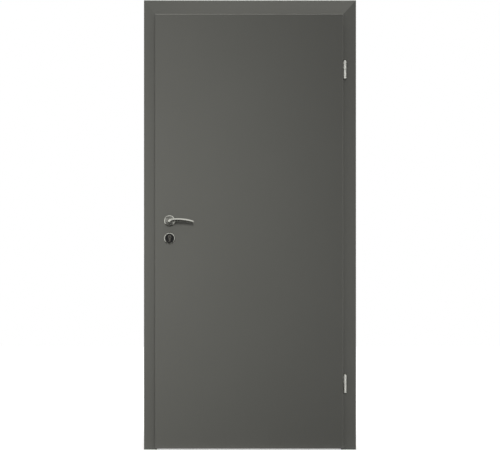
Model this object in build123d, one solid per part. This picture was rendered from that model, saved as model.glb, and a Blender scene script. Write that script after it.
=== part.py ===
from build123d import *
import os
from math import cos, radians, sin

os.makedirs("parts", exist_ok=True)

# Interior door: a rebated flush leaf hung on barrel hinges in a lining-and-casing frame.
# Millimetres. +X runs to the hinge side, +Y through the wall, +Z up.
# The origin lies on the wall face of the hinge-side lining, at floor level and half the wall's depth.

# Leaf
LEAF_WIDTH = 860.0
LEAF_HEIGHT = 1985.0
LIP_THICKNESS = 14.5
CORE_THICKNESS = 25.5
LIP_OVERHANG = 13.0
LIP_EDGE_RADIUS = 3.0
CORE_EDGE_RADIUS = 1.5
FLOOR_GAP = 7.0

# Gaps between the leaf and the frame
REBATE_GAP = 5.0
LIP_GAP = 5.0
STOP_GAP = 5.0

# Frame
WALL_THICKNESS = 145.0
LINING_THICKNESS = 28.0
STOP_STEP = 12.5
LINING_EDGE_RADIUS = 1.5
CASING_THICKNESS = 19.0
LOCK_CASING_WIDTH = 59.5
HINGE_CASING_WIDTH = 68.5
HEAD_CASING_WIDTH = 75.0
CASING_EDGE_RADIUS = 4.0
REAR_CASING_THICKNESS = 16.0
REAR_CASING_WIDTH = 65.0
REAR_REVEAL = 5.0

# Seal
SEAL_WIDTH = 8.0
SEAL_HEIGHT = 4.0
SEAL_FLANGE = 1.5
SEAL_ROOT_WIDTH = 3.0
SEAL_ROOT_DEPTH = 5.0
SEAL_ROOT_CLEARANCE = 0.1

# Hinges
LOWER_HINGE_HEIGHT = 302.5
UPPER_HINGE_DROP = 254.5
KNUCKLE_DIAMETER = 15.0
KNUCKLE_LENGTH = 39.5
KNUCKLE_CHAMFER = 0.8
KNUCKLE_EDGE_GAP = 1.0
HINGE_WASHER_THICKNESS = 1.0
HINGE_WASHER_DIAMETER = 14.0
HINGE_PIN_DIAMETER = 8.0
HINGE_PIN_CLEARANCE = 0.05
HINGE_CAP_DIAMETER = 12.0
HINGE_CAP_HEIGHT = 3.0
HINGE_END_PLAY = 0.3
LEAF_BOLT_DIAMETER = 6.5
LEAF_BOLT_DEPTH = 35.0
FRAME_BOLT_DIAMETER = 8.0
FRAME_BOLT_DEPTH = 16.0
HINGE_BOLT_SPACING = 20.0
BOLT_CLEARANCE = 0.1

# Lock
BACKSET = 55.0
SPINDLE_HEIGHT = 1048.0
SPINDLE_SIZE = 8.0
SPINDLE_CLEARANCE = 0.1
SPINDLE_BORE_DIAMETER = 20.0
CYLINDER_DROP = 72.0
LOCK_SETBACK = 14.5
FACEPLATE_LENGTH = 235.0
FACEPLATE_WIDTH = 18.0
FACEPLATE_THICKNESS = 3.0
FACEPLATE_RISE = 77.0
LOCK_CLEARANCE = 0.2
BOLT_HEAD_THICKNESS = 10.0
BOLT_HEAD_HEIGHT = 34.0
BOLT_HEAD_LENGTH = 40.0
BOLT_HEAD_PROUD = 0.5
BOLT_HEAD_CHAMFER = 2.0
LATCH_RISE = 24.0
DEAD_BOLT_DROP = 36.0
STRIKE_LENGTH = 170.0
STRIKE_WIDTH = 16.0
STRIKE_THICKNESS = 2.5
STRIKE_OPENING_MARGIN = 0.75
STRIKE_POCKET_DEPTH = 18.0

# Profile cylinder
CYLINDER_DIAMETER = 17.0
CYLINDER_WEB_WIDTH = 10.0
CYLINDER_HEIGHT = 33.0
CYLINDER_CLEARANCE = 0.3
PLUG_DIAMETER = 13.0
PLUG_LENGTH = 25.0
PLUG_CLEARANCE = 0.05
KEYWAY_WIDTH = 2.4
KEYWAY_HEIGHT = 9.0
KEYWAY_DEPTH = 20.0

# Rosettes
ROSETTE_DIAMETER = 52.0
ROSETTE_HEIGHT = 8.0
ROSETTE_EDGE_RADIUS = 4.5
COLLAR_DIAMETER = 25.0
COLLAR_HEIGHT = 10.0
COLLAR_EDGE_RADIUS = 0.8
INLAY_DIAMETER = 40.0
INLAY_RECESS = 1.6
INLAY_CLEARANCE = 0.1

# Lever
NECK_DIAMETER = 17.0
NECK_CLEARANCE = 0.5
NECK_SEAT = 2.0
LEVER_PROJECTION = 50.0
LEVER_REACH = 112.0
ELBOW_RADIUS = 17.0
LEVER_RISE = 4.8
LEVER_APEX = 45.5
LEVER_RETURN = 7.0
GRIP_HEIGHT = 17.0
GRIP_DEPTH = 12.5
TIP_HEIGHT = 12.0
TIP_DEPTH = 9.0
TIP_EDGE_RADIUS = 3.0
SOCKET_DEPTH = 24.0

# Planes across the wall
WALL_FRONT = -WALL_THICKNESS / 2
WALL_REAR = WALL_THICKNESS / 2
CASING_FACE = WALL_FRONT - CASING_THICKNESS
LIP_REAR = CASING_FACE - LIP_GAP
LEAF_FRONT = LIP_REAR - LIP_THICKNESS
LEAF_REAR = LIP_REAR + CORE_THICKNESS
LEAF_MIDDLE = (LEAF_FRONT + LEAF_REAR) / 2
STOP_FACE = LEAF_REAR + STOP_GAP

# Planes from the hinge side to the lock side
LIP_COVER = LIP_OVERHANG - REBATE_GAP
REBATE_WIDTH = LEAF_WIDTH - 2 * LIP_COVER
HINGE_PASSAGE = -LINING_THICKNESS
HINGE_REBATE = HINGE_PASSAGE + STOP_STEP
LOCK_REBATE = HINGE_REBATE - REBATE_WIDTH
LOCK_PASSAGE = LOCK_REBATE + STOP_STEP
LOCK_WALL = LOCK_PASSAGE - LINING_THICKNESS
LEAF_HINGE_EDGE = HINGE_REBATE + LIP_COVER
LEAF_LOCK_EDGE = LOCK_REBATE - LIP_COVER
CORE_LOCK_EDGE = LEAF_LOCK_EDGE + LIP_OVERHANG
CORE_HINGE_EDGE = LEAF_HINGE_EDGE - LIP_OVERHANG

# Levels
LEAF_TOP = FLOOR_GAP + LEAF_HEIGHT
HEAD_REBATE = LEAF_TOP - LIP_COVER
HEAD_PASSAGE = HEAD_REBATE - STOP_STEP
HEAD_WALL = HEAD_PASSAGE + LINING_THICKNESS
FRAME_TOP = HEAD_REBATE + HEAD_CASING_WIDTH

# Hinge axis and lock positions
HINGE_X = LEAF_HINGE_EDGE + KNUCKLE_EDGE_GAP + KNUCKLE_DIAMETER / 2
HINGE_Y = (LEAF_FRONT + LIP_REAR) / 2
HINGE_LEVELS = {"lower": LOWER_HINGE_HEIGHT, "upper": LEAF_TOP - UPPER_HINGE_DROP}
HANDLE_X = CORE_LOCK_EDGE + BACKSET
CYLINDER_LEVEL = SPINDLE_HEIGHT - CYLINDER_DROP
KEY_ROSETTE_LEVEL = CYLINDER_LEVEL + CYLINDER_DIAMETER / 2 - CYLINDER_HEIGHT / 2
LOCK_Y = LIP_REAR + LOCK_SETBACK
FACEPLATE_LEVEL = SPINDLE_HEIGHT + FACEPLATE_RISE - FACEPLATE_LENGTH / 2
LATCH_LEVEL = SPINDLE_HEIGHT + LATCH_RISE
DEAD_BOLT_LEVEL = SPINDLE_HEIGHT - DEAD_BOLT_DROP
STRIKE_LEVEL = (LATCH_LEVEL + DEAD_BOLT_LEVEL) / 2
INLAY_HEIGHT = ROSETTE_HEIGHT - INLAY_RECESS


def block(x0, x1, y0, y1, z0, z1):
    """A square-edged board between two opposite corners."""
    middle = Pos((x0 + x1) / 2, (y0 + y1) / 2, (z0 + z1) / 2)
    return middle * Box(abs(x1 - x0), abs(y1 - y0), abs(z1 - z0))


def rod_y(x, z, diameter, y0, y1):
    """A round bar or drill along Y."""
    return Pos(x, (y0 + y1) / 2, z) * Rot(90, 0, 0) * Cylinder(diameter / 2, abs(y1 - y0))


def rod_x(y, z, diameter, x0, x1):
    """A round bar or drill along X."""
    return Pos((x0 + x1) / 2, y, z) * Rot(0, 90, 0) * Cylinder(diameter / 2, abs(x1 - x0))


def on_front(x, z, shape):
    """Set a shape that was drawn standing on XY onto the leaf's front face."""
    return Pos(x, LEAF_FRONT, z) * Rot(90, 0, 0) * shape


def on_rear(x, z, shape):
    """Set a shape that was drawn standing on XY onto the leaf's rear face."""
    return Pos(x, LEAF_REAR, z) * Rot(0, 0, 180) * Rot(90, 0, 0) * shape


# Frame
def side_lining(wall, inward):
    """A jamb board with its rebate, from the wall face at x = wall towards the passage."""
    passage = wall + inward * LINING_THICKNESS
    rebate = passage - inward * STOP_STEP
    outline = Polyline(
        (wall, WALL_FRONT),
        (wall, WALL_REAR),
        (passage, WALL_REAR),
        (passage, STOP_FACE),
        (rebate, STOP_FACE),
        (rebate, WALL_FRONT),
        close=True,
    )
    section = Sketch() + make_face(outline)
    arrises = [v for v in section.vertices() if abs(v.X - passage) < 0.001]
    section = fillet(arrises, LINING_EDGE_RADIUS)
    groove_x = passage - inward * STOP_STEP / 2
    groove = block(
        groove_x - SEAL_ROOT_WIDTH / 2 - SEAL_ROOT_CLEARANCE,
        groove_x + SEAL_ROOT_WIDTH / 2 + SEAL_ROOT_CLEARANCE,
        STOP_FACE,
        STOP_FACE + SEAL_ROOT_DEPTH + SEAL_ROOT_CLEARANCE,
        0,
        HEAD_PASSAGE,
    )
    return extrude(section, amount=HEAD_WALL) - groove


def head_lining():
    """The head board between the jambs, with its rebate and seal groove."""
    board = block(LOCK_PASSAGE, HINGE_PASSAGE, STOP_FACE, WALL_REAR, HEAD_PASSAGE, HEAD_WALL)
    tongue = block(LOCK_REBATE, HINGE_REBATE, WALL_FRONT, STOP_FACE, HEAD_REBATE, HEAD_WALL)
    level = HEAD_PASSAGE + STOP_STEP / 2
    groove = block(
        LOCK_PASSAGE,
        HINGE_PASSAGE,
        STOP_FACE,
        STOP_FACE + SEAL_ROOT_DEPTH + SEAL_ROOT_CLEARANCE,
        level - SEAL_ROOT_WIDTH / 2 - SEAL_ROOT_CLEARANCE,
        level + SEAL_ROOT_WIDTH / 2 + SEAL_ROOT_CLEARANCE,
    )
    return board + tongue - groove


def casing(start, across, outward, width, thickness, length, mitred):
    """A casing board with rounded face edges, cut to the outline that its mitres leave."""
    section = Pos(width / 2, thickness / 2) * Rectangle(width, thickness)
    section = fillet(section.vertices().group_by(Axis.Y)[-1], CASING_EDGE_RADIUS)
    plane = Plane(origin=start, x_dir=across, z_dir=Vector(across).cross(Vector(outward)))
    board = extrude(plane * section, amount=length)
    outline = make_face(Plane.XZ * Polyline(*mitred, close=True))
    return board & extrude(outline, amount=WALL_THICKNESS, both=True)


def casing_set(side, wall, outward, thickness, inner, widths):
    """The two jamb casings and the head casing on one side of the wall."""
    lock_in, hinge_in, head_in = inner
    lock_width, hinge_width, head_width = widths
    lock_out = lock_in - lock_width
    hinge_out = hinge_in + hinge_width
    head_out = head_in + head_width
    front = outward[1] < 0
    up = (0, 0, 1)
    right = (1, 0, 0)
    left = (-1, 0, 0)
    hinge_start = (hinge_in, wall, head_out if front else 0)
    lock_start = (lock_in, wall, 0 if front else head_out)
    head_start = (lock_out if front else hinge_out, wall, head_in)
    hinge_outline = [(hinge_in, 0), (hinge_out, 0), (hinge_out, head_out), (hinge_in, head_in)]
    lock_outline = [(lock_in, 0), (lock_out, 0), (lock_out, head_out), (lock_in, head_in)]
    head_outline = [(lock_in, head_in), (hinge_in, head_in), (hinge_out, head_out), (lock_out, head_out)]
    return {
        f"casing_{side}_hinge_side": casing(
            hinge_start, right, outward, hinge_width, thickness, head_out, hinge_outline
        ),
        f"casing_{side}_lock_side": casing(
            lock_start, left, outward, lock_width, thickness, head_out, lock_outline
        ),
        f"casing_{side}_head": casing(
            head_start, up, outward, head_width, thickness, hinge_out - lock_out, head_outline
        ),
    }


def seal(length, root_length):
    """A strip with a rounded bulb and a root, lying along +X from the origin with its bulb to +Z."""
    bulb = Ellipse(SEAL_WIDTH / 2, SEAL_HEIGHT - SEAL_FLANGE)
    bulb &= Pos(0, SEAL_HEIGHT / 2) * Rectangle(SEAL_WIDTH, SEAL_HEIGHT)
    section = Pos(0, SEAL_FLANGE) * bulb
    section += Pos(0, SEAL_FLANGE / 2) * Rectangle(SEAL_WIDTH, SEAL_FLANGE)
    root = Pos(0, -SEAL_ROOT_DEPTH / 2) * Rectangle(SEAL_ROOT_WIDTH, SEAL_ROOT_DEPTH)
    strip = extrude(Plane.YZ * section, amount=length)
    inset = (length - root_length) / 2
    return strip + Pos(inset, 0, 0) * extrude(Plane.YZ * root, amount=root_length)


def side_seal(passage, inward):
    """The seal that stands in one jamb's groove."""
    top = HEAD_PASSAGE + STOP_STEP / 2 + SEAL_WIDTH / 2
    strip = Rot(90, 0, 0) * seal(top, 2 * HEAD_PASSAGE - top - 2 * SEAL_ROOT_CLEARANCE)
    x = passage - inward * STOP_STEP / 2
    return Pos(x, STOP_FACE, 0) * Rot(0, -90, 0) * strip


def head_seal():
    """The seal in the head's groove, between the two jamb seals."""
    left = LOCK_PASSAGE - STOP_STEP / 2 + SEAL_WIDTH / 2
    right = HINGE_PASSAGE + STOP_STEP / 2 - SEAL_WIDTH / 2
    root_length = HINGE_PASSAGE - LOCK_PASSAGE - 2 * SEAL_ROOT_CLEARANCE
    strip = seal(right - left, min(root_length, right - left))
    return Pos(left, STOP_FACE, HEAD_PASSAGE + STOP_STEP / 2) * Rot(90, 0, 0) * strip


def lock_openings(margin, x0, x1):
    """The two upright openings that the latch and the dead bolt stand in."""
    y_half = BOLT_HEAD_THICKNESS / 2 + margin
    z_half = BOLT_HEAD_HEIGHT / 2 + margin
    latch = block(x0, x1, LOCK_Y - y_half, LOCK_Y + y_half, LATCH_LEVEL - z_half, LATCH_LEVEL + z_half)
    bolt = block(
        x0, x1, LOCK_Y - y_half, LOCK_Y + y_half, DEAD_BOLT_LEVEL - z_half, DEAD_BOLT_LEVEL + z_half
    )
    return latch, bolt


def round_ended_plate(x0, x1, level, length, width):
    """An upright plate with round ends, flush in the lock edge."""
    outline = Rot(0, 0, 90) * SlotOverall(length, width)
    plane = Plane(origin=(x0, LOCK_Y, level), x_dir=(0, 1, 0), z_dir=(1, 0, 0))
    return extrude(plane * outline, amount=x1 - x0)


def strike_plate():
    """The strike plate, let flush into the lock-side casing's rebate edge."""
    plate = round_ended_plate(
        LOCK_REBATE - STRIKE_THICKNESS, LOCK_REBATE, STRIKE_LEVEL, STRIKE_LENGTH, STRIKE_WIDTH
    )
    for opening in lock_openings(STRIKE_OPENING_MARGIN, LOCK_REBATE - STRIKE_THICKNESS, LOCK_REBATE):
        plate -= opening
    return plate


def strike_mortise(casing_board):
    """Cut the strike plate's seat and the two pockets behind it."""
    board = casing_board - round_ended_plate(
        LOCK_REBATE - STRIKE_THICKNESS, LOCK_REBATE, STRIKE_LEVEL, STRIKE_LENGTH, STRIKE_WIDTH
    )
    for pocket in lock_openings(STRIKE_OPENING_MARGIN, LOCK_REBATE - STRIKE_POCKET_DEPTH, LOCK_REBATE):
        board -= pocket
    return board


# Hinges
def knuckle(z0, z1):
    """One bored hinge knuckle round the hinge axis."""
    middle = Pos(HINGE_X, HINGE_Y, (z0 + z1) / 2)
    barrel = Cylinder(KNUCKLE_DIAMETER / 2, z1 - z0)
    return middle * chamfer(barrel.edges().filter_by(GeomType.CIRCLE), KNUCKLE_CHAMFER)


def pin_bore(z0, z1):
    """The bore for the hinge pin."""
    radius = HINGE_PIN_DIAMETER / 2 + HINGE_PIN_CLEARANCE
    return Pos(HINGE_X, HINGE_Y, (z0 + z1) / 2) * Cylinder(radius, z1 - z0)


def bolt_levels(z0, z1):
    """Where a knuckle's two bolts stand."""
    middle = (z0 + z1) / 2
    return middle - HINGE_BOLT_SPACING / 2, middle + HINGE_BOLT_SPACING / 2


def leaf_knuckle_span(parting):
    """The upper knuckle's ends, above the washer."""
    low = parting + HINGE_WASHER_THICKNESS / 2
    return low, low + KNUCKLE_LENGTH


def frame_knuckle_span(parting):
    """The lower knuckle's ends, below the washer."""
    high = parting - HINGE_WASHER_THICKNESS / 2
    return high - KNUCKLE_LENGTH, high


def leaf_bolts(parting, clearance):
    """The bolts that run from the leaf knuckle into the lip's edge."""
    end = LEAF_HINGE_EDGE - LEAF_BOLT_DEPTH - clearance
    diameter = LEAF_BOLT_DIAMETER + 2 * clearance
    return [rod_x(HINGE_Y, z, diameter, end, HINGE_X) for z in bolt_levels(*leaf_knuckle_span(parting))]


def frame_bolts(parting, clearance):
    """The bolts that run from the frame knuckle into the hinge-side casing."""
    end = CASING_FACE + FRAME_BOLT_DEPTH + clearance
    diameter = FRAME_BOLT_DIAMETER + 2 * clearance
    return [rod_y(HINGE_X, z, diameter, HINGE_Y, end) for z in bolt_levels(*frame_knuckle_span(parting))]


def hinge(name, parting):
    """One two-part barrel hinge: the leaf's half, the frame's half, the pin and the washer."""
    leaf_low, leaf_high = leaf_knuckle_span(parting)
    frame_low, frame_high = frame_knuckle_span(parting)
    leaf_half = knuckle(leaf_low + HINGE_END_PLAY / 2, leaf_high)
    for bolt in leaf_bolts(parting, 0):
        leaf_half += bolt
    frame_half = knuckle(frame_low, frame_high)
    for bolt in frame_bolts(parting, 0):
        frame_half += bolt
    cap_low = leaf_high + HINGE_END_PLAY
    pin_top = cap_low + HINGE_CAP_HEIGHT
    pin = Pos(HINGE_X, HINGE_Y, (frame_low + pin_top) / 2) * Cylinder(
        HINGE_PIN_DIAMETER / 2, pin_top - frame_low
    )
    cap = Cylinder(HINGE_CAP_DIAMETER / 2, HINGE_CAP_HEIGHT)
    cap = fillet(cap.edges().group_by(Axis.Z)[-1], HINGE_CAP_HEIGHT * 0.7)
    washer = Cylinder(HINGE_WASHER_DIAMETER / 2, HINGE_WASHER_THICKNESS)
    washer -= Cylinder(HINGE_PIN_DIAMETER / 2 + HINGE_PIN_CLEARANCE, HINGE_WASHER_THICKNESS)
    return {
        f"hinge_leaf_knuckle_{name}": leaf_half - pin_bore(leaf_low, leaf_high),
        f"hinge_frame_knuckle_{name}": frame_half - pin_bore(frame_low, frame_high),
        f"hinge_pin_{name}": pin + Pos(HINGE_X, HINGE_Y, cap_low + HINGE_CAP_HEIGHT / 2) * cap,
        f"hinge_washer_{name}": Pos(HINGE_X, HINGE_Y, parting) * washer,
    }


# Lock and furniture
def cylinder_section(clearance):
    """The lock cylinder's keyhole-shaped section, with its plug's middle at the origin."""
    web = CYLINDER_WEB_WIDTH + 2 * clearance
    drop = CYLINDER_HEIGHT - CYLINDER_DIAMETER / 2 - CYLINDER_WEB_WIDTH / 2
    section = Sketch() + Circle(CYLINDER_DIAMETER / 2 + clearance)
    section += Pos(0, -drop / 2) * Rectangle(web, drop)
    section += Pos(0, -drop) * Circle(web / 2)
    return section


def cylinder_bar(clearance, y0, y1):
    """The cylinder's section run along Y."""
    plane = Plane(origin=(HANDLE_X, y0, CYLINDER_LEVEL), x_dir=(-1, 0, 0), z_dir=(0, 1, 0))
    return extrude(plane * cylinder_section(clearance), amount=y1 - y0)


def lock_cylinder():
    """The cylinder's housing with a bore for each plug, and the two slotted plugs."""
    front = LEAF_FRONT - ROSETTE_HEIGHT
    rear = LEAF_REAR + ROSETTE_HEIGHT
    bore = PLUG_DIAMETER + 2 * PLUG_CLEARANCE
    body = cylinder_bar(0, front, rear)
    body -= rod_y(HANDLE_X, CYLINDER_LEVEL, bore, front, front + PLUG_LENGTH)
    body -= rod_y(HANDLE_X, CYLINDER_LEVEL, bore, rear - PLUG_LENGTH, rear)
    plugs = {}
    for side, mouth, inward in (("front", front, 1), ("rear", rear, -1)):
        plug = rod_y(HANDLE_X, CYLINDER_LEVEL, PLUG_DIAMETER, mouth, mouth + inward * PLUG_LENGTH)
        keyway = block(
            HANDLE_X - KEYWAY_WIDTH / 2,
            HANDLE_X + KEYWAY_WIDTH / 2,
            mouth,
            mouth + inward * KEYWAY_DEPTH,
            CYLINDER_LEVEL - KEYWAY_HEIGHT / 2,
            CYLINDER_LEVEL + KEYWAY_HEIGHT / 2,
        )
        plugs[f"cylinder_plug_{side}"] = plug - keyway
    return {"cylinder_body": body, **plugs}


def lever_rosette():
    """The lever's round rosette with the collar that guides the neck."""
    bore = NECK_DIAMETER / 2 + NECK_CLEARANCE
    disc = Pos(0, 0, ROSETTE_HEIGHT / 2) * Cylinder(ROSETTE_DIAMETER / 2, ROSETTE_HEIGHT)
    disc = fillet(disc.edges().group_by(Axis.Z)[-1], ROSETTE_EDGE_RADIUS)
    collar = Pos(0, 0, COLLAR_HEIGHT / 2) * Cylinder(COLLAR_DIAMETER / 2, COLLAR_HEIGHT)
    collar = fillet(collar.edges().group_by(Axis.Z)[-1], COLLAR_EDGE_RADIUS)
    return disc + collar - Pos(0, 0, COLLAR_HEIGHT / 2) * Cylinder(bore, COLLAR_HEIGHT)


def key_rosette():
    """The key rosette's ring."""
    ring = Pos(0, 0, ROSETTE_HEIGHT / 2) * Cylinder(ROSETTE_DIAMETER / 2, ROSETTE_HEIGHT)
    ring = fillet(ring.edges().group_by(Axis.Z)[-1], ROSETTE_EDGE_RADIUS)
    bore = INLAY_DIAMETER / 2 + INLAY_CLEARANCE
    return ring - Pos(0, 0, ROSETTE_HEIGHT / 2) * Cylinder(bore, ROSETTE_HEIGHT)


def key_inlay():
    """The disc sunk in the ring, cut out for the lock cylinder."""
    disc = Pos(0, 0, INLAY_HEIGHT / 2) * Cylinder(INLAY_DIAMETER / 2, INLAY_HEIGHT)
    rise = CYLINDER_LEVEL - KEY_ROSETTE_LEVEL
    return disc - extrude(Pos(0, rise) * cylinder_section(CYLINDER_CLEARANCE), amount=INLAY_HEIGHT)


def lever_stations():
    """Points along the lever's middle line, about evenly spaced, each with the section's height and depth."""
    neck = LEVER_PROJECTION - ELBOW_RADIUS
    stations = []
    for i in range(5):
        stations.append((0, NECK_SEAT + (neck - NECK_SEAT) * i / 5, NECK_DIAMETER, NECK_DIAMETER))
    for i in range(4):
        turn = radians(90) * i / 4
        run = ELBOW_RADIUS * (1 - cos(turn))
        out = neck + ELBOW_RADIUS * sin(turn)
        height = NECK_DIAMETER + (GRIP_HEIGHT - NECK_DIAMETER) * i / 4
        depth = NECK_DIAMETER + (GRIP_DEPTH - NECK_DIAMETER) * i / 4
        stations.append((run, out, height, depth))
    for i in range(15):
        share = i / 14
        run = ELBOW_RADIUS + (LEVER_REACH - ELBOW_RADIUS) * share
        out = LEVER_PROJECTION - LEVER_RETURN * share**2
        height = GRIP_HEIGHT + (TIP_HEIGHT - GRIP_HEIGHT) * share
        depth = GRIP_DEPTH + (TIP_DEPTH - GRIP_DEPTH) * share
        stations.append((run, out, height, depth))
    return stations


def lever_point(run, out):
    """A point of the lever's middle line: the grip bows up and falls again towards its tip."""
    rise = LEVER_RISE * (1 - ((run - LEVER_APEX) / LEVER_APEX) ** 2)
    return Vector(HANDLE_X + run, LEAF_FRONT - out, SPINDLE_HEIGHT + rise)


def lever():
    """The front lever: round neck, elbow and bowed oval grip lofted in one, with the spindle's socket."""
    stations = lever_stations()
    points = [lever_point(run, out) for run, out, _, _ in stations]
    sections = []
    for i, (_, _, height, depth) in enumerate(stations):
        if points[i].X == HANDLE_X:
            along = Vector(0, -1, 0)
        else:
            along = (points[min(i + 1, len(points) - 1)] - points[i - 1]).normalized()
        up = Vector(0, 0, 1)
        upright = (up - along * up.dot(along)).normalized()
        plane = Plane(origin=points[i], x_dir=upright, z_dir=along)
        sections.append(plane * Ellipse(height / 2, depth / 2))
    body = loft(sections)
    body = fillet(body.faces().sort_by(Axis.X)[-1].edges(), TIP_EDGE_RADIUS)
    half = SPINDLE_SIZE / 2 + SPINDLE_CLEARANCE
    socket = block(
        HANDLE_X - half,
        HANDLE_X + half,
        LEAF_FRONT - NECK_SEAT,
        LEAF_FRONT - NECK_SEAT - SOCKET_DEPTH,
        SPINDLE_HEIGHT - half,
        SPINDLE_HEIGHT + half,
    )
    return body - socket


def spindle():
    """The square spindle between the two levers' sockets."""
    reach = NECK_SEAT + SOCKET_DEPTH - SPINDLE_CLEARANCE
    half = SPINDLE_SIZE / 2
    return block(
        HANDLE_X - half,
        HANDLE_X + half,
        LEAF_FRONT - reach,
        LEAF_REAR + reach,
        SPINDLE_HEIGHT - half,
        SPINDLE_HEIGHT + half,
    )


def lock_faceplate():
    """The mortise lock's faceplate, flush in the leaf's rebated edge."""
    plate = round_ended_plate(
        CORE_LOCK_EDGE,
        CORE_LOCK_EDGE + FACEPLATE_THICKNESS,
        FACEPLATE_LEVEL,
        FACEPLATE_LENGTH,
        FACEPLATE_WIDTH,
    )
    for opening in lock_openings(LOCK_CLEARANCE, CORE_LOCK_EDGE, CORE_LOCK_EDGE + FACEPLATE_THICKNESS):
        plate -= opening
    return plate


def bolt_head(level):
    """A latch or bolt head, drawn back so that it stands just proud of the faceplate."""
    y_half = BOLT_HEAD_THICKNESS / 2
    z_half = BOLT_HEAD_HEIGHT / 2
    nose = CORE_LOCK_EDGE - BOLT_HEAD_PROUD
    return block(
        nose, nose + BOLT_HEAD_LENGTH, LOCK_Y - y_half, LOCK_Y + y_half, level - z_half, level + z_half
    )


def latch_bolt():
    """The latch, with the slanted nose edge that meets the strike first."""
    head = bolt_head(LATCH_LEVEL)
    nose = head.faces().sort_by(Axis.X)[0]
    return chamfer(nose.edges().filter_by(Axis.Z).sort_by(Axis.Y)[-1], BOLT_HEAD_CHAMFER)


def leaf_panel():
    """The flush leaf: a lipped front, a rebated core, and its mortises and bores."""
    lip = block(LEAF_LOCK_EDGE, LEAF_HINGE_EDGE, LEAF_FRONT, LIP_REAR, FLOOR_GAP, LEAF_TOP)
    core = block(
        CORE_LOCK_EDGE, CORE_HINGE_EDGE, LIP_REAR, LEAF_REAR, FLOOR_GAP, LEAF_TOP - LIP_OVERHANG
    )
    panel = lip + core
    panel = fillet(panel.faces().sort_by(Axis.Y)[0].edges(), LIP_EDGE_RADIUS)
    panel = fillet(panel.faces().sort_by(Axis.Y)[-1].edges(), CORE_EDGE_RADIUS)
    panel -= rod_y(HANDLE_X, SPINDLE_HEIGHT, SPINDLE_BORE_DIAMETER, LEAF_FRONT, LEAF_REAR)
    panel -= cylinder_bar(CYLINDER_CLEARANCE, LEAF_FRONT, LEAF_REAR)
    panel -= round_ended_plate(
        CORE_LOCK_EDGE,
        CORE_LOCK_EDGE + FACEPLATE_THICKNESS,
        FACEPLATE_LEVEL,
        FACEPLATE_LENGTH,
        FACEPLATE_WIDTH,
    )
    back = CORE_LOCK_EDGE - BOLT_HEAD_PROUD + BOLT_HEAD_LENGTH + LOCK_CLEARANCE
    for pocket in lock_openings(LOCK_CLEARANCE, CORE_LOCK_EDGE, back):
        panel -= pocket
    for parting in HINGE_LEVELS.values():
        for hole in leaf_bolts(parting, BOLT_CLEARANCE):
            panel -= hole
    return panel


pieces = {
    "lining_hinge_side": side_lining(0, -1),
    "lining_lock_side": side_lining(LOCK_WALL, 1),
    "lining_head": head_lining(),
}
pieces.update(
    casing_set(
        "front",
        WALL_FRONT,
        (0, -1, 0),
        CASING_THICKNESS,
        (LOCK_REBATE, HINGE_REBATE, HEAD_REBATE),
        (LOCK_CASING_WIDTH, HINGE_CASING_WIDTH, HEAD_CASING_WIDTH),
    )
)
pieces.update(
    casing_set(
        "rear",
        WALL_REAR,
        (0, 1, 0),
        REAR_CASING_THICKNESS,
        (LOCK_PASSAGE - REAR_REVEAL, HINGE_PASSAGE + REAR_REVEAL, HEAD_PASSAGE + REAR_REVEAL),
        (REAR_CASING_WIDTH, REAR_CASING_WIDTH, REAR_CASING_WIDTH),
    )
)
for parting in HINGE_LEVELS.values():
    for hole in frame_bolts(parting, BOLT_CLEARANCE):
        pieces["casing_front_hinge_side"] -= hole
pieces["casing_front_lock_side"] = strike_mortise(pieces["casing_front_lock_side"])
pieces["strike_plate"] = strike_plate()
pieces["seal_hinge_side"] = side_seal(HINGE_PASSAGE, -1)
pieces["seal_lock_side"] = side_seal(LOCK_PASSAGE, 1)
pieces["seal_head"] = head_seal()
for name, parting in HINGE_LEVELS.items():
    pieces.update(hinge(name, parting))
pieces["leaf_panel"] = leaf_panel()
pieces["lock_faceplate"] = lock_faceplate()
pieces["latch_bolt"] = latch_bolt()
pieces["dead_bolt"] = bolt_head(DEAD_BOLT_LEVEL)
pieces.update(lock_cylinder())
for side, place in (("front", on_front), ("rear", on_rear)):
    pieces[f"lever_rosette_{side}"] = place(HANDLE_X, SPINDLE_HEIGHT, lever_rosette())
    pieces[f"key_rosette_{side}"] = place(HANDLE_X, KEY_ROSETTE_LEVEL, key_rosette())
    pieces[f"key_inlay_{side}"] = place(HANDLE_X, KEY_ROSETTE_LEVEL, key_inlay())
pieces["lever_front"] = lever()
pieces["lever_rear"] = mirror(pieces["lever_front"], about=Plane.XZ.offset(-LEAF_MIDDLE))
pieces["spindle"] = spindle()

for node, shape in pieces.items():
    export_step(shape, f"parts/{node}.step")
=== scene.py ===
import math

import bmesh
import bpy
from mathutils import Matrix, Vector


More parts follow.
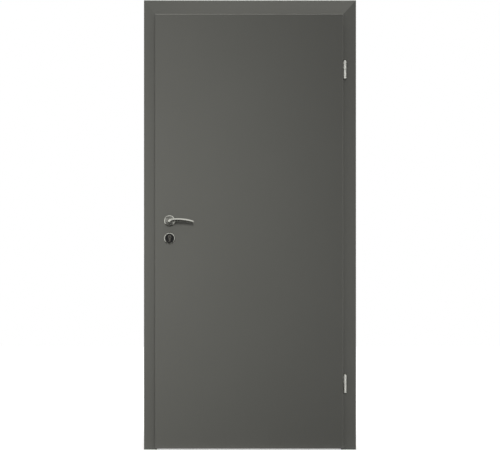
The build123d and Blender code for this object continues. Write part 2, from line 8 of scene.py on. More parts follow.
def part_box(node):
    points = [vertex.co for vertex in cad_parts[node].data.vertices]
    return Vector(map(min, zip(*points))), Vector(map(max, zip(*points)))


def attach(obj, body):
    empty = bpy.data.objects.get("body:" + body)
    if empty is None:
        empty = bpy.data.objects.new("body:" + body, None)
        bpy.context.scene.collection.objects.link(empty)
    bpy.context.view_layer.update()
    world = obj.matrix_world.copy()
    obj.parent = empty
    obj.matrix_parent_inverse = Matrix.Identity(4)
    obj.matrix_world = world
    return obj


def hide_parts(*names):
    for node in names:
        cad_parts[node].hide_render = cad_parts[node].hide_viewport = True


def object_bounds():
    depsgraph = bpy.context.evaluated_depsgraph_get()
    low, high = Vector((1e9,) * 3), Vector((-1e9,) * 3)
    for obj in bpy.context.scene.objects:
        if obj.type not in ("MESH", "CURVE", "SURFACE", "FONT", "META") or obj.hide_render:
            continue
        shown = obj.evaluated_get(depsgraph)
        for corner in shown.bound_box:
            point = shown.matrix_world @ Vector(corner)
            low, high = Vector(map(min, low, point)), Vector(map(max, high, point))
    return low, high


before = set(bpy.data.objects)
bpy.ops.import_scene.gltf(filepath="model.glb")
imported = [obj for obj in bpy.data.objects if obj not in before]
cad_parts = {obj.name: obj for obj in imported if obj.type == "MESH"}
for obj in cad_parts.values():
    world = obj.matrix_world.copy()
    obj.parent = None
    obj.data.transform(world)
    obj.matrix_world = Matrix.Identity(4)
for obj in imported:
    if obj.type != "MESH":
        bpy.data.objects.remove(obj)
cad_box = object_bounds()

# Interior door: finishes, small fasteners, studio and camera. Metres, in the frame of the door.
# +X runs to the hinge side, +Y through the wall away from the viewer, +Z up.

# Screws
PLATE_SCREW_DIAMETER = 0.0080
PLATE_SCREW_SINK = 0.0016
PLATE_SCREW_INSET = 0.0110
CYLINDER_SCREW_DIAMETER = 0.0070
CYLINDER_SCREW_RISE = 0.0010
GRUB_DIAMETER = 0.0050
GRUB_LENGTH = 0.0060
GRUB_OUT = 0.0210
SCREW_STAND = 0.0001

# Screw heads, as shares of a head's own diameter or length
FOOT_SHARE = 0.5
RIM_SHARE = 0.06
LAND_SHARE = 0.16
CROSS_SHARE = 0.30
CROSS_DEPTH_SHARE = 0.7
HEX_SHARE = 0.5
HEX_DEPTH_SHARE = 0.4
RECESS_TAPER = 0.72
HEAD_SIDES = 32
RIM_SEGMENTS = 3
SAME_LEVEL_DIGITS = 7
SMALLEST_SINE = 0.001

# Ridge along each key slot
WARD_WIDTH = 0.0007
WARD_HEIGHT = 0.0022
WARD_DEPTH = 0.0180
WARD_ASIDE = 0.0009
WARD_DROP = 0.0009
WARD_START = 0.0006
WARD_ROUND_SHARE = 0.3
WARD_SEGMENTS = 2

# Lever rosette: a low dome with a round edge, and a collar around the lever's neck.
# The dome falls from its top, at the collar, by its curve times the gain in the squared radius.
DOME_CURVE = 2.0
DOME_TOP = 0.0080
ROSETTE_EDGE = 0.0045
COLLAR_RADIUS = 0.0125
COLLAR_EDGE = 0.0008
NECK_HOLE_RADIUS = 0.0090
ROSETTE_STEPS = 96
DOME_STEPS = 12
ARC_STEPS = 8
MERGE_DISTANCE = 0.000001
SHARP_TURN = 30

# Photograph's frame, in pixels, and the lens
PHOTO_WIDTH = 500
PHOTO_HEIGHT = 450
DOOR_TOP_ROW = 0.05
DOOR_BOTTOM_ROW = 449.6
LENS = 85.0
SENSOR = 36.0

# Studio lights: name, place, aim, size, power and spread in degrees
LIGHTS = (
    ("key_light", (-0.3, -4.95, 2.36), (-1.72, -0.11, 0.86), (1.1, 1.1), 22.4, 48),
    ("top_light", (-0.45, -0.18, 3.6), (-0.45, -0.18, 0.0), (1.8, 0.12), 33, 120),
    ("side_light", (2.2, -0.2, 1.0), (0.0, -0.2, 1.0), (0.12, 2.4), 24, 120),
    ("back_light", (-0.6, 4.95, 2.36), (-0.43, 0.1, 0.9), (1.1, 1.1), 20, 50),
)
FILL = 0.42

# Floor: its side, and where its glow begins and ends around the door, and how strong it is there
FLOOR_SIZE = 9.0
FLOOR_FADE = (0.3, 1.9)
FLOOR_GLOW = (0.52, 0.92)
FLOOR_ROUGHNESS = 0.9
HALF_METRE = 0.5

# Cards that only metal and lacquer reflect: name, size, tone, place and turn
FLAT = Matrix.Identity(4)
UPRIGHT_CARD = Matrix.Rotation(math.pi / 2, 4, "X")
SIDE_CARD = Matrix.Rotation(math.pi / 2, 4, "Y")
CARDS = (
    ("low_card", (2.1, 6.2), 0.04, (-1.35, -3.25, 0.01), FLAT),
    ("low_card_right", (2.3, 6.2), 0.10, (0.85, -3.25, 0.01), FLAT),
    ("front_card_low", (2.1, 1.0), 0.05, (-1.35, -6.4, 0.5), UPRIGHT_CARD),
    ("front_card_high", (2.1, 2.2), 0.22, (-1.35, -6.4, 2.1), UPRIGHT_CARD),
    ("hinge_card", (0.8, 0.5), 1.8, (0.60, -1.3, 0.26), UPRIGHT_CARD),
    ("right_card", (3.8, 2.7), 0.12, (2.2, -1.25, 1.3), SIDE_CARD),
    ("left_card", (1.2, 4.6), 0.10, (-2.4, -4.1, 2.5), SIDE_CARD),
)

# Finishes, as linear colours
LEAF_GREY = (0.092, 0.092, 0.083, 1)
FRAME_GREY = (0.094, 0.094, 0.085, 1)
STEEL = (0.55, 0.55, 0.50, 1)
NICKEL = (0.84, 0.84, 0.78, 1)
PLATE = (0.55, 0.55, 0.54, 1)
CYLINDER = (0.30, 0.29, 0.26, 1)
INLAY = (0.010, 0.010, 0.010, 1)
RUBBER = (0.030, 0.030, 0.029, 1)
WASHER = (0.42, 0.42, 0.40, 1)
FLOOR_GREY = (0.48, 0.48, 0.47, 1)
CHIPBOARD = (0.40, 0.29, 0.18, 1)
WHITE = (1, 1, 1, 1)

# Painted light on the front boards: each board's colour is scaled lighter or darker at the lock side and at
# the hinge side, for how the light falls on it; the head grows lighter towards the hinge side
PLAIN = (1.0, 1.0)
LOCK_SIDE_PAINTED_SHADE = (0.97, 0.97)
HINGE_SIDE_PAINTED_LIGHT = (1.14, 1.14)
HEAD_PAINTED_LIGHT = (1.01, 1.76)

# Noise in the finishes: scale, detail and roughness. A moulded grain has a scale of its own.
PEEL = (620, 2, 0.5)
CLOUDS = (2.6, 3, 0.5)
GLOSS_PATCHES = (9, 4, 0.5)
BOARD_LINES = (1, 3, 0.6)
FINE_LINES = (1, 4, 0.7)
BROAD_LINES = (0.22, 2, 0.5)
BLOTCHES = (55, 3, 0.55)
CHIPS = (260, 4, 0.7)
GRAIN_DETAIL = (3, 0.6)

# How the shared effects mix that noise, and where their masks begin and end
UNIT = (0.0, 1.0)
LINE_TONE = 0.45
CLOUD_TONE = 0.55
LINE_HEIGHT = 0.5
FINE_SHARE = 0.65
BROAD_SHARE = 0.35
ARRIS_TURN = (0.995, 0.80)
ARRIS_SAMPLES = 6
BLOTCH_RANGE = (0.42, 0.68)

# Lacquer. Tones are shares of its colour; the bump is its strength and its depth.
LACQUER_TONES = (0.95, 1.05)
LACQUER_ROUGHNESS = (0.40, 0.52)
LACQUER_SPECULAR = 0.28
LACQUER_BUMP = (0.10, 0.00012)
LACQUER_ARRIS = 0.0012
LACQUER_ARRIS_SHARE = 0.35
# Lighter arrises: rubbed lacquer, and also a painted highlight along the edges
LACQUER_EDGE_WEAR_AND_HIGHLIGHT = 1.30
LACQUER_ARRIS_ROUGHNESS = -0.06
RAW_WITHIN = 0.00005
RAW_ROUGHNESS = 0.85
CHIP_TONES = (0.55, 1.35)

# Metal, with lines that are clear or faint to the touch
METAL_TONES = (0.88, 1.08)
METAL_ROUGHNESS_RANGE = 0.07
METAL_BUMP = 0.25
METAL_ARRIS = 0.0005
METAL_ARRIS_SHARE = 0.5
METAL_ARRIS_TONE = 1.2
HANDLED_ROUGHNESS = 0.06
CLEAR_LINES = 0.00003
FAINT_LINES = 0.00001

# Rubber and plastic
HANDLED_TONE = 1.35
GRAIN_ROUGHNESS_RANGE = 0.08
GRAIN_BUMP = 0.3

# Lines per metre along each axis. They run along the axis of the smallest number.
UPRIGHT = (420, 420, 6)
LEVEL = (6, 420, 420)
HINGE_LINES = (30, 30, 5200)
LEVER_LINES = (60, 2600, 2600)
PLATE_LINES = (3200, 3200, 40)
BOLT_LINES = (40, 3200, 3200)
SPINDLE_LINES = (2600, 60, 2600)
SCREW_GRAIN = (2400, 2400, 2400)
ROSETTE_RINGS = 4200
PLUG_RINGS = 5200

# Sockets of a Mix node that mixes colours
MIX_FACTOR = 0
MIX_FIRST = 6
MIX_SECOND = 7
MIX_COLOUR = 2

# Endings of the names of pieces that come more than once
FACES = ("front", "rear")
HINGES = ("upper", "lower")
BOARDS = ("hinge_side", "lock_side", "head")


def each(stem, endings):
    """The names of a piece that comes more than once."""
    return [f"{stem}_{ending}" for ending in endings]


def middle_of(node):
    """The middle of a node's box."""
    low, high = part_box(node)
    return (low + high) / 2


# Places that several pieces share
spindle_middle = middle_of("spindle")
leaf_low, leaf_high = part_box("leaf_panel")
casing_low, casing_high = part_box("casing_front_head")
leaf_faces = (("front", leaf_low.y, -1), ("rear", leaf_high.y, 1))


# Node helpers
def add(tree, kind, inputs=None, **settings):
    """Place a node, with its settings, and with each input linked or set."""
    node = tree.nodes.new(kind)
    for key, value in settings.items():
        setattr(node, key, value)
    for socket, value in (inputs or {}).items():
        if isinstance(value, bpy.types.NodeSocket):
            tree.links.new(value, node.inputs[socket])
        else:
            node.inputs[socket].default_value = value
    return node


def math_node(tree, operation, *values):
    """A Math node's result."""
    return add(tree, "ShaderNodeMath", dict(enumerate(values)), operation=operation).outputs[0]


def vector_node(tree, operation, inputs):
    """A Vector Math node's results."""
    return add(tree, "ShaderNodeVectorMath", inputs, operation=operation).outputs


def remap(tree, value, source, target):
    """A value laid out from one range to another, and held at its ends."""
    inputs = {
        "Value": value,
        "From Min": source[0],
        "From Max": source[1],
        "To Min": target[0],
        "To Max": target[1],
    }
    return add(tree, "ShaderNodeMapRange", inputs).outputs["Result"]


def tint(tree, factor, low, high):
    """A colour between two, by a mask."""
    inputs = {MIX_FACTOR: factor, MIX_FIRST: low, MIX_SECOND: high}
    return add(tree, "ShaderNodeMix", inputs, data_type="RGBA").outputs[MIX_COLOUR]


def shade(colour, share):
    """A colour made lighter or darker."""
    return tuple(c * share for c in colour[:3]) + (1,)


def noise(tree, vector, scale, detail, roughness):
    """Noise over a vector, as a value."""
    inputs = {"Vector": vector, "Scale": scale, "Detail": detail, "Roughness": roughness}
    return add(tree, "ShaderNodeTexNoise", inputs).outputs["Fac"]


def new_group(name, inputs, outputs):
    """An empty shader node group with its named sockets."""
    tree = bpy.data.node_groups.new(name, "ShaderNodeTree")
    for socket, kind in inputs:
        tree.interface.new_socket(socket, in_out="INPUT", socket_type=kind)
    for socket, kind in outputs:
        tree.interface.new_socket(socket, in_out="OUTPUT", socket_type=kind)
    return tree, tree.nodes.new("NodeGroupInput"), tree.nodes.new("NodeGroupOutput")


def use_group(tree, group, inputs):
    """A shared effect, placed with its own inputs."""
    return add(tree, "ShaderNodeGroup", inputs, node_tree=group).outputs


# Shared effects
def lacquer_skin_group():
    """Sprayed lacquer: fine peel, faint lines along the board and slow clouds of tone."""
    tree, start, end = new_group(
        "lacquer_skin",
        [("Place", "NodeSocketVector"), ("Along Board", "NodeSocketVector")],
        [("Tone", "NodeSocketFloat"), ("Gloss", "NodeSocketFloat"), ("Height", "NodeSocketFloat")],
    )
    peel = noise(tree, start.outputs["Place"], *PEEL)
    clouds = noise(tree, start.outputs["Place"], *CLOUDS)
    lines = noise(tree, start.outputs["Along Board"], *BOARD_LINES)
    cloud_tone = math_node(tree, "MULTIPLY", clouds, CLOUD_TONE)
    tone = math_node(tree, "MULTIPLY_ADD", lines, LINE_TONE, cloud_tone)
    gloss = noise(tree, start.outputs["Place"], *GLOSS_PATCHES)
    height = math_node(tree, "MULTIPLY_ADD", lines, LINE_HEIGHT, peel)
    tree.links.new(tone, end.inputs["Tone"])
    tree.links.new(gloss, end.inputs["Gloss"])
    tree.links.new(height, end.inputs["Height"])
    return tree


def drawn_lines_group():
    """Fine drawn or turned lines in metal, over a vector that is already stretched along them."""
    tree, start, end = new_group(
        "drawn_lines",
        [("Stretched Place", "NodeSocketVector")],
        [("Lines", "NodeSocketFloat"), ("Height", "NodeSocketFloat")],
    )
    fine = noise(tree, start.outputs["Stretched Place"], *FINE_LINES)
    broad = noise(tree, start.outputs["Stretched Place"], *BROAD_LINES)
    broad_share = math_node(tree, "MULTIPLY", broad, BROAD_SHARE)
    lines = math_node(tree, "MULTIPLY_ADD", fine, FINE_SHARE, broad_share)
    tree.links.new(lines, end.inputs["Lines"])
    tree.links.new(fine, end.inputs["Height"])
    return tree


def arris_group():
    """A mask of the outer arrises, where a finish is thinner and gets rubbed, and where the lacquer also
    gets a painted highlight.
    """
    tree, start, end = new_group(
        "arris", [("Reach", "NodeSocketFloat")], [("Mask", "NodeSocketFloat")]
    )
    rounded = add(tree, "ShaderNodeBevel", {"Radius": start.outputs["Reach"]}, samples=ARRIS_SAMPLES)
    normal = add(tree, "ShaderNodeNewGeometry").outputs["Normal"]
    turn = vector_node(tree, "DOT_PRODUCT", {0: rounded.outputs[0], 1: normal})["Value"]
    tree.links.new(remap(tree, turn, ARRIS_TURN, UNIT), end.inputs["Mask"])
    return tree


def handling_group():
    """Soft blotches that hands and cloths leave in a satin surface."""
    tree, start, end = new_group(
        "handling", [("Place", "NodeSocketVector")], [("Mask", "NodeSocketFloat")]
    )
    blotch = noise(tree, start.outputs["Place"], *BLOTCHES)
    tree.links.new(remap(tree, blotch, BLOTCH_RANGE, UNIT), end.inputs["Mask"])
    return tree


LACQUER_SKIN = lacquer_skin_group()
DRAWN_LINES = drawn_lines_group()
ARRIS = arris_group()
HANDLING = handling_group()


# Materials
def new_material(name):
    """A material with its tree, its shader and the piece's own place as a vector."""
    material = bpy.data.materials.new(name)
    material.use_nodes = True
    tree = material.node_tree
    place = add(tree, "ShaderNodeTexCoord").outputs["Object"]
    return material, tree, tree.nodes["Principled BSDF"], place


def stretched(tree, place, scale, centre=(0, 0, 0)):
    """The place moved to a centre and scaled by axis."""
    moved = vector_node(tree, "SUBTRACT", {0: place, 1: centre})[0]
    return vector_node(tree, "MULTIPLY", {0: moved, 1: scale})[0]


def set_bump(tree, shader, height, strength, depth):
    """Bump the shader's normal by a height."""
    inputs = {"Strength": strength, "Distance": depth, "Height": height}
    tree.links.new(add(tree, "ShaderNodeBump", inputs).outputs[0], shader.inputs["Normal"])


def lacquer(name, colour, line_scale, raw_axis=None, raw_at=0.0, painted_light_tones=PLAIN):
    """Satin lacquer on a board. Its lines run along the axis of the smallest line scale.
    The face at raw_at on raw_axis, if any, is bare chipboard, as it is against a wall.
    painted_light_tones scale the colour at the lock side and at the hinge side: painted light and shade for
    how the light falls on the board."""
    material, tree, shader, place = new_material(name)
    axes = add(tree, "ShaderNodeSeparateXYZ", {0: place}).outputs
    lines = stretched(tree, place, line_scale)
    skin = use_group(tree, LACQUER_SKIN, {"Place": place, "Along Board": lines})
    edge = use_group(tree, ARRIS, {"Reach": LACQUER_ARRIS})["Mask"]
    lighter_edge = math_node(tree, "MULTIPLY", edge, LACQUER_ARRIS_SHARE)
    dark, light = (shade(colour, share) for share in LACQUER_TONES)
    toned = tint(tree, skin["Tone"], dark, light)
    # Lighter arrises: partly rubbed lacquer, partly a painted highlight along the edges
    painted = tint(tree, lighter_edge, toned, shade(colour, LACQUER_EDGE_WEAR_AND_HIGHLIGHT))
    # Painted light: the colour is scaled across the frame from the lock side to the hinge side
    coat_and_painted_light = remap(tree, axes["X"], (casing_low.x, casing_high.x), painted_light_tones)
    painted = vector_node(tree, "SCALE", {0: painted, "Scale": coat_and_painted_light})[0]
    roughness = remap(tree, skin["Gloss"], UNIT, LACQUER_ROUGHNESS)
    roughness = math_node(tree, "MULTIPLY_ADD", edge, LACQUER_ARRIS_ROUGHNESS, roughness)
    if raw_axis is not None:
        raw = math_node(tree, "COMPARE", axes[raw_axis], raw_at, RAW_WITHIN)
        dark, light = (shade(CHIPBOARD, share) for share in CHIP_TONES)
        board = tint(tree, noise(tree, place, *CHIPS), dark, light)
        painted = tint(tree, raw, painted, board)
        raw_roughness = math_node(tree, "MULTIPLY", raw, RAW_ROUGHNESS)
        roughness = math_node(tree, "MAXIMUM", roughness, raw_roughness)
    tree.links.new(painted, shader.inputs["Base Color"])
    tree.links.new(roughness, shader.inputs["Roughness"])
    shader.inputs["Specular IOR Level"].default_value = LACQUER_SPECULAR
    set_bump(tree, shader, skin["Height"], *LACQUER_BUMP)
    return material


def metal(name, colour, rough, lines_on, depth):
    """Satin metal. lines_on gives the vector, stretched along its drawn or turned lines."""
    material, tree, shader, place = new_material(name)
    drawn = use_group(tree, DRAWN_LINES, {"Stretched Place": lines_on(tree, place)})
    touched = use_group(tree, HANDLING, {"Place": place})["Mask"]
    edge = use_group(tree, ARRIS, {"Reach": METAL_ARRIS})["Mask"]
    lighter_edge = math_node(tree, "MULTIPLY", edge, METAL_ARRIS_SHARE)
    dark, light = (shade(colour, share) for share in METAL_TONES)
    toned = tint(tree, drawn["Lines"], dark, light)
    bright = tint(tree, lighter_edge, toned, shade(colour, METAL_ARRIS_TONE))
    rough_range = (rough - METAL_ROUGHNESS_RANGE, rough + METAL_ROUGHNESS_RANGE)
    roughness = remap(tree, drawn["Lines"], UNIT, rough_range)
    roughness = math_node(tree, "MULTIPLY_ADD", touched, HANDLED_ROUGHNESS, roughness)
    tree.links.new(bright, shader.inputs["Base Color"])
    tree.links.new(roughness, shader.inputs["Roughness"])
    shader.inputs["Metallic"].default_value = 1.0
    set_bump(tree, shader, drawn["Height"], METAL_BUMP, depth)
    return material


def lines_along(scale):
    """Lines that run along the axis of the smallest scale."""
    return lambda tree, place: stretched(tree, place, scale)


def rings_about(centre, rings):
    """Rings turned about an axis along Y through a centre."""

    def vector(tree, place):
        across = stretched(tree, place, (1, 0, 1), (centre[0], 0, centre[2]))
        radius = vector_node(tree, "LENGTH", {0: across})["Value"]
        spaced = math_node(tree, "MULTIPLY", radius, rings)
        return add(tree, "ShaderNodeCombineXYZ", {"X": spaced}).outputs[0]

    return vector


def moulded(name, colour, rough, grain, depth, shine):
    """Moulded plastic or rubber with a fine grain."""
    material, tree, shader, place = new_material(name)
    pits = noise(tree, place, grain, *GRAIN_DETAIL)
    touched = use_group(tree, HANDLING, {"Place": place})["Mask"]
    toned = tint(tree, touched, colour, shade(colour, HANDLED_TONE))
    rough_range = (rough - GRAIN_ROUGHNESS_RANGE, rough + GRAIN_ROUGHNESS_RANGE)
    tree.links.new(toned, shader.inputs["Base Color"])
    tree.links.new(remap(tree, pits, UNIT, rough_range), shader.inputs["Roughness"])
    shader.inputs["Specular IOR Level"].default_value = shine
    set_bump(tree, shader, pits, GRAIN_BUMP, depth)
    return material


def finish_nodes(material, names):
    """Give the named nodes a finish."""
    for name in names:
        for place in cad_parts[name].material_slots:
            place.material = material


def finish_boards():
    """Lacquer on the leaf and on the frame's boards, which are bare where they meet the wall."""
    rear_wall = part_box("casing_rear_head")[0].y
    boards = {
        "lining_hinge_side": (UPRIGHT, "X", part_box("lining_hinge_side")[1].x, PLAIN),
        "lining_lock_side": (UPRIGHT, "X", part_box("lining_lock_side")[0].x, PLAIN),
        "lining_head": (LEVEL, "Z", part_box("lining_head")[1].z, PLAIN),
        # The front boards carry painted light and shade: their colour is scaled lighter or darker, and the
        # head's grows lighter towards the hinge side
        "casing_front_hinge_side": (UPRIGHT, "Y", casing_high.y, HINGE_SIDE_PAINTED_LIGHT),
        "casing_front_lock_side": (UPRIGHT, "Y", casing_high.y, LOCK_SIDE_PAINTED_SHADE),
        "casing_front_head": (LEVEL, "Y", casing_high.y, HEAD_PAINTED_LIGHT),
        "casing_rear_hinge_side": (UPRIGHT, "Y", rear_wall, PLAIN),
        "casing_rear_lock_side": (UPRIGHT, "Y", rear_wall, PLAIN),
        "casing_rear_head": (LEVEL, "Y", rear_wall, PLAIN),
    }
    for name, coat_and_painted_light in boards.items():
        finish_nodes(lacquer(f"{name}_lacquer", FRAME_GREY, *coat_and_painted_light), [name])
    finish_nodes(lacquer("leaf_lacquer", LEAF_GREY, UPRIGHT), ["leaf_panel"])


def finish_hardware():
    """Metal, rubber and plastic on the seals, hinges, lock and handles. Gives the metals by name."""
    lever_rings = rings_about(spindle_middle, ROSETTE_RINGS)
    key_rings = rings_about(middle_of("key_rosette_front"), ROSETTE_RINGS)
    plug_rings = rings_about(middle_of("cylinder_plug_front"), PLUG_RINGS)
    knuckles = each("hinge_leaf_knuckle", HINGES) + each("hinge_frame_knuckle", HINGES)
    hinges = knuckles + each("hinge_pin", HINGES)
    plates = ["lock_faceplate", "strike_plate"]
    # Name, colour, roughness, scale and depth of the grain, shine and nodes
    soft_finishes = (
        ("seal_rubber", RUBBER, 0.62, 1800, 0.00005, 0.5, each("seal", BOARDS)),
        ("washer_plastic", WASHER, 0.45, 2400, 0.00003, 0.5, each("hinge_washer", HINGES)),
        ("inlay_black", INLAY, 0.42, 3000, 0.00004, 0.15, each("key_inlay", FACES)),
    )
    for name, colour, rough, grain, depth, shine, nodes in soft_finishes:
        finish_nodes(moulded(name, colour, rough, grain, depth, shine), nodes)
    # Name, colour and the share of it, roughness, lines and their depth, and nodes
    metal_finishes = (
        ("hinge_nickel", NICKEL, 1.0, 0.30, lines_along(HINGE_LINES), CLEAR_LINES, hinges),
        ("lever_steel", STEEL, 1.0, 0.17, lines_along(LEVER_LINES), FAINT_LINES, each("lever", FACES)),
        ("lever_rosette_steel", STEEL, 1.0, 0.17, lever_rings, FAINT_LINES, each("lever_rosette", FACES)),
        ("key_rosette_steel", STEEL, 1.0, 0.17, key_rings, FAINT_LINES, each("key_rosette", FACES)),
        ("cylinder_nickel", CYLINDER, 1.0, 0.22, plug_rings, FAINT_LINES, ["cylinder_body"]),
        ("plug_nickel", CYLINDER, 0.85, 0.28, plug_rings, CLEAR_LINES, each("cylinder_plug", FACES)),
        ("plate_steel", PLATE, 1.0, 0.34, lines_along(PLATE_LINES), CLEAR_LINES, plates),
        ("lock_steel", PLATE, 0.9, 0.30, lines_along(BOLT_LINES), CLEAR_LINES, ["latch_bolt", "dead_bolt"]),
        ("spindle_steel", PLATE, 0.7, 0.40, lines_along(SPINDLE_LINES), CLEAR_LINES, ["spindle"]),
        ("screw_steel", PLATE, 0.5, 0.28, lines_along(SCREW_GRAIN), CLEAR_LINES, []),
        ("grub_steel", PLATE, 0.5, 0.40, lines_along(SCREW_GRAIN), CLEAR_LINES, []),
    )
    metals = {}
    for name, colour, share, rough, lines, depth, nodes in metal_finishes:
        metals[name] = metal(name, shade(colour, share), rough, lines, depth)
        finish_nodes(metals[name], nodes)
    return metals


# Shapes and their places
def make_object(name, bm, placed, material):
    """A finished shape, put in its place."""
    bm.transform(placed)
    mesh = bpy.data.meshes.new(name)
    bm.to_mesh(mesh)
    bm.free()
    mesh.materials.append(material)
    made = bpy.data.objects.new(name, mesh)
    bpy.context.scene.collection.objects.link(made)
    return made


def add_piece(name, bm, placed, material, body):
    """A piece of the door, which rides on its body."""
    piece = make_object(name, bm, placed, material)
    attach(piece, body)
    return piece


def facing(direction, point):
    """A placing that turns +Z to a direction at a point."""
    return Matrix.Translation(point) @ Vector(direction).to_track_quat("Z", "Y").to_matrix().to_4x4()


# Lever rosettes
def arc(middle, radius, start, end):
    """Points of an arc in the plane of radius and height, between two angles."""
    turns = [start + (end - start) * i / ARC_STEPS for i in range(ARC_STEPS + 1)]
    return [(middle[0] + radius * math.cos(a), middle[1] + radius * math.sin(a)) for a in turns]


def dome_level(radius):
    """The height of the dome at a radius."""
    return DOME_TOP - DOME_CURVE * (radius**2 - COLLAR_RADIUS**2)


def domed_rosette(outer, top):
    """A rosette about +Z on its foot at the origin, with its collar at the top."""
    edge_middle = outer - ROSETTE_EDGE
    tilt = math.atan(2 * DOME_CURVE * edge_middle)
    rim = edge_middle + ROSETTE_EDGE * math.sin(tilt)
    edge_level = dome_level(rim) - ROSETTE_EDGE * math.cos(tilt)
    outline = [(NECK_HOLE_RADIUS, 0), (outer, 0)]
    outline += arc((edge_middle, edge_level), ROSETTE_EDGE, 0, math.pi / 2 - tilt)
    for i in range(1, DOME_STEPS + 1):
        radius = rim + (COLLAR_RADIUS - rim) * i / DOME_STEPS
        outline.append((radius, dome_level(radius)))
    outline += arc((COLLAR_RADIUS - COLLAR_EDGE, top - COLLAR_EDGE), COLLAR_EDGE, 0, math.pi / 2)
    outline.append((NECK_HOLE_RADIUS, top))
    bm = bmesh.new()
    corners = [bm.verts.new((radius, 0, level)) for radius, level in outline]
    edges = [bm.edges.new((corners[i - 1], corners[i])) for i in range(len(corners))]
    bmesh.ops.spin(
        bm,
        geom=corners + edges,
        cent=(0, 0, 0),
        axis=(0, 0, 1),
        dvec=(0, 0, 0),
        angle=2 * math.pi,
        steps=ROSETTE_STEPS,
        use_merge=True,
        use_duplicate=False,
    )
    bmesh.ops.remove_doubles(bm, verts=bm.verts, dist=MERGE_DISTANCE)
    bmesh.ops.recalc_face_normals(bm, faces=bm.faces)
    for face in bm.faces:
        face.smooth = True
    return bm


def lever_rosettes(material):
    """The domed rosettes on both faces of the leaf, in place of the plain ones."""
    for side, face, out in leaf_faces:
        node = f"lever_rosette_{side}"
        low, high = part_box(node)
        bm = domed_rosette((high.x - low.x) / 2, high.y - low.y)
        placed = facing((0, out, 0), (spindle_middle.x, face, spindle_middle.z))
        piece = add_piece(f"domed_rosette_{side}", bm, placed, material, "leaf")
        piece.data.set_sharp_from_angle(angle=math.radians(SHARP_TURN))
        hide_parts(node)


# Fasteners and the key slots' wards
def cross_reach(angle, arm):
    """How far a cross recess reaches from its middle at an angle."""
    from_arm = abs((angle + math.pi / 4) % (math.pi / 2) - math.pi / 4)
    half_width = arm * math.tan(math.pi / 8)
    along = arm / math.cos(from_arm)
    return min(along, half_width / max(math.sin(from_arm), SMALLEST_SINE))


def hex_reach(angle, across_flats):
    """How far a hexagon recess reaches from its middle at an angle."""
    from_flat = (angle % (math.pi / 3)) - math.pi / 6
    return across_flats / 2 / math.cos(from_flat)


def recessed_head(diameter, foot_diameter, length, reach, depth):
    """A screw head along +Z with its top at the origin, with a recess of the given outline."""
    bm = bmesh.new()
    bmesh.ops.create_cone(
        bm,
        cap_ends=True,
        segments=HEAD_SIDES,
        radius1=foot_diameter / 2,
        radius2=diameter / 2,
        depth=length,
        matrix=Matrix.Translation((0, 0, -length / 2)),
    )
    top = max(bm.faces, key=lambda face: face.calc_center_median().z)
    bmesh.ops.bevel(
        bm,
        geom=list(top.edges),
        offset=diameter * RIM_SHARE,
        segments=RIM_SEGMENTS,
        profile=0.5,
        affect="EDGES",
        material=-1,
    )
    bm.faces.ensure_lookup_table()

    def level_and_area(face):
        """What sorts the faces: the highest first, and of those the largest."""
        return round(face.calc_center_median().z, SAME_LEVEL_DIGITS), face.calc_area()

    top = max(bm.faces, key=level_and_area)
    bmesh.ops.inset_region(bm, faces=[top], thickness=diameter * LAND_SHARE)
    for corner in top.verts:
        angle = math.atan2(corner.co.y, corner.co.x)
        size = reach(angle)
        corner.co.x = size * math.cos(angle)
        corner.co.y = size * math.sin(angle)
    walls = bmesh.ops.extrude_face_region(bm, geom=[top])
    floor = [v for v in walls["geom"] if isinstance(v, bmesh.types.BMVert)]
    bmesh.ops.translate(bm, vec=(0, 0, -depth), verts=floor)
    bmesh.ops.delete(bm, geom=[top], context="FACES_ONLY")
    bmesh.ops.scale(bm, vec=(RECESS_TAPER, RECESS_TAPER, 1), verts=floor)
    bmesh.ops.recalc_face_normals(bm, faces=bm.faces)
    return bm


def cross_head(diameter):
    """A countersunk screw head with a cross recess."""
    return recessed_head(
        diameter,
        diameter * FOOT_SHARE,
        PLATE_SCREW_SINK,
        lambda angle: cross_reach(angle, diameter * CROSS_SHARE),
        PLATE_SCREW_SINK * CROSS_DEPTH_SHARE,
    )


def plate_screws(plate, side, body, material):
    """Countersunk screws near both ends of a lock plate, facing along side."""
    low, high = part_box(plate)
    face = high.x if side > 0 else low.x
    middle = (low.y + high.y) / 2
    for end, level in (("top", high.z - PLATE_SCREW_INSET), ("bottom", low.z + PLATE_SCREW_INSET)):
        placed = facing((side, 0, 0), (face + side * SCREW_STAND, middle, level))
        head = cross_head(PLATE_SCREW_DIAMETER)
        add_piece(f"{plate}_screw_{end}", head, placed, material, body)


def cylinder_screw(material):
    """The screw through the faceplate that holds the lock cylinder."""
    low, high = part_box("lock_faceplate")
    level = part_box("cylinder_body")[0].z + CYLINDER_SCREW_DIAMETER / 2 + CYLINDER_SCREW_RISE
    placed = facing((-1, 0, 0), (low.x - SCREW_STAND, (low.y + high.y) / 2, level))
    head = cross_head(CYLINDER_SCREW_DIAMETER)
    add_piece("cylinder_screw", head, placed, material, "leaf")


def grub_screws(material):
    """The hexagon-socket screws under the two lever necks."""
    neck_radius = spindle_middle.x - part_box("lever_front")[0].x
    for side, face, out in leaf_faces:
        head = recessed_head(
            GRUB_DIAMETER,
            GRUB_DIAMETER,
            GRUB_LENGTH,
            lambda angle: hex_reach(angle, GRUB_DIAMETER * HEX_SHARE),
            GRUB_LENGTH * HEX_DEPTH_SHARE,
        )
        place = (spindle_middle.x, face + out * GRUB_OUT, spindle_middle.z - neck_radius)
        placed = facing((0, 0, -1), place)
        add_piece(f"lever_{side}_grub_screw", head, placed, material, "lever_handle")


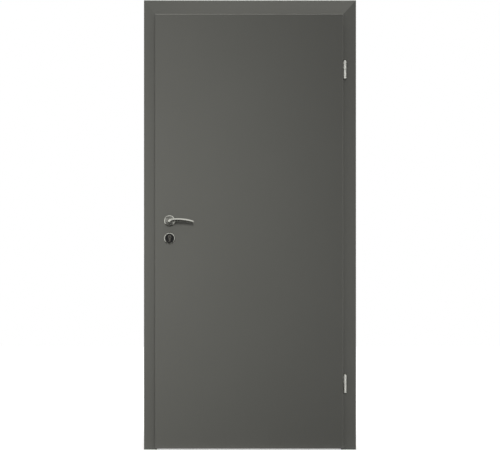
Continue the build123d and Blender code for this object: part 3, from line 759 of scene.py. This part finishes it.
def key_wards(material):
    """A ridge along each key slot, which the groove of a key passes."""
    front_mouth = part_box("cylinder_plug_front")[0].y
    rear_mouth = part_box("cylinder_plug_rear")[1].y
    for side, mouth, inward in (("front", front_mouth, 1), ("rear", rear_mouth, -1)):
        bm = bmesh.new()
        bmesh.ops.create_cube(bm, size=1)
        bmesh.ops.scale(bm, vec=(WARD_WIDTH, WARD_DEPTH, WARD_HEIGHT), verts=bm.verts)
        long_edges = [e for e in bm.edges if abs((e.verts[0].co - e.verts[1].co).y) > WARD_DEPTH / 2]
        bmesh.ops.bevel(
            bm,
            geom=long_edges,
            offset=WARD_WIDTH * WARD_ROUND_SHARE,
            segments=WARD_SEGMENTS,
            profile=0.5,
            affect="EDGES",
            material=-1,
        )
        centre = middle_of(f"cylinder_plug_{side}")
        along = mouth + inward * (WARD_DEPTH / 2 + WARD_START)
        placed = Matrix.Translation((centre.x - WARD_ASIDE, along, centre.z - WARD_DROP))
        add_piece(f"key_ward_{side}", bm, placed, material, "leaf")


# Studio
def softbox(name, place, aim, size, power, spread_degrees):
    """A soft light that lights the boards and leaves the reflections to the white room and the cards."""
    lamp = bpy.data.lights.new(name, "AREA")
    lamp.shape = "RECTANGLE"
    lamp.size, lamp.size_y = size
    lamp.energy = power
    lamp.spread = math.radians(spread_degrees)
    light = bpy.data.objects.new(name, lamp)
    light.location = place
    light.rotation_mode = "QUATERNION"
    light.rotation_quaternion = (Vector(aim) - Vector(place)).to_track_quat("-Z", "Y")
    light.visible_glossy = False
    bpy.context.scene.collection.objects.link(light)


def seen_background(tree):
    """1 for rays that see the background: the camera's, and those off gloss and through glass."""
    path = add(tree, "ShaderNodeLightPath").outputs
    seen = math_node(tree, "MAXIMUM", path["Is Camera Ray"], path["Is Glossy Ray"])
    return math_node(tree, "MAXIMUM", seen, path["Is Transmission Ray"])


def white_world():
    """A white background with a weaker even fill light."""
    world = bpy.data.worlds.new("studio")
    bpy.context.scene.world = world
    world.use_nodes = True
    tree = world.node_tree
    background = tree.nodes["Background"]
    background.inputs["Color"].default_value = WHITE
    strength = remap(tree, seen_background(tree), UNIT, (FILL, 1.0))
    tree.links.new(strength, background.inputs["Strength"])


def flat_sheet(name, size, placed, material):
    """A flat stage piece."""
    bm = bmesh.new()
    bmesh.ops.create_grid(bm, x_segments=1, y_segments=1, size=HALF_METRE)
    bmesh.ops.scale(bm, vec=(size[0], size[1], 1), verts=bm.verts)
    sheet = make_object(name, bm, placed, material)
    return sheet


def pale_floor():
    """The pale floor, which keeps a soft shadow near the door and fades to white around it."""
    material, tree, shader, place = new_material("pale_floor")
    shader.inputs["Base Color"].default_value = FLOOR_GREY
    shader.inputs["Roughness"].default_value = FLOOR_ROUGHNESS
    shader.inputs["Specular IOR Level"].default_value = 0.0
    middle = (cad_box[0] + cad_box[1]) / 2
    foot = (middle.x, middle.y, 0)
    away = vector_node(tree, "DISTANCE", {0: place, 1: foot})["Value"]
    glowing = remap(tree, away, FLOOR_FADE, FLOOR_GLOW)
    strength = math_node(tree, "MULTIPLY", seen_background(tree), glowing)
    white = add(tree, "ShaderNodeEmission", {"Color": WHITE, "Strength": strength})
    both = add(tree, "ShaderNodeAddShader", {0: shader.outputs[0], 1: white.outputs[0]})
    tree.links.new(both.outputs[0], tree.nodes["Material Output"].inputs["Surface"])
    flat_sheet("floor", (FLOOR_SIZE, FLOOR_SIZE), Matrix.Translation(foot), material)


def card(name, size, tone, placed):
    """A card that only shows as a reflection, so that round metal has light and dark sides."""
    material = bpy.data.materials.new(name)
    material.use_nodes = True
    tree = material.node_tree
    tree.nodes.remove(tree.nodes["Principled BSDF"])
    grey = add(tree, "ShaderNodeEmission", {"Color": (tone, tone, tone, 1), "Strength": 1.0})
    tree.links.new(grey.outputs[0], tree.nodes["Material Output"].inputs["Surface"])
    sheet = flat_sheet(name, size, placed, material)
    sheet.visible_camera = False
    sheet.visible_diffuse = False
    sheet.visible_transmission = False
    sheet.visible_shadow = False


def camera():
    """A level camera square to the door, framed as the photograph is."""
    data = bpy.data.cameras.new("camera")
    data.lens = LENS
    data.sensor_width = SENSOR
    eye = bpy.data.objects.new("camera", data)
    pixel = casing_high.z / (DOOR_BOTTOM_ROW - DOOR_TOP_ROW)
    distance = PHOTO_WIDTH * pixel * LENS / SENSOR
    middle = (casing_low.x + casing_high.x) / 2
    level = casing_high.z - (PHOTO_HEIGHT / 2 - DOOR_TOP_ROW) * pixel
    eye.location = (middle, casing_low.y - distance, level)
    eye.rotation_euler = (math.pi / 2, 0, 0)
    bpy.context.scene.collection.objects.link(eye)
    bpy.context.scene.camera = eye


def studio():
    """Lights, floor, cards and camera."""
    bpy.context.scene.view_settings.view_transform = "Standard"
    white_world()
    pale_floor()
    for light in LIGHTS:
        softbox(*light)
    for name, size, tone, place, turn in CARDS:
        card(name, size, tone, Matrix.Translation(place) @ turn)
    camera()


finish_boards()
metals = finish_hardware()
lever_rosettes(metals["lever_rosette_steel"])
plate_screws("lock_faceplate", -1, "leaf", metals["screw_steel"])
plate_screws("strike_plate", 1, "frame", metals["screw_steel"])
cylinder_screw(metals["screw_steel"])
grub_screws(metals["grub_steel"])
key_wards(metals["plug_nickel"])
studio()
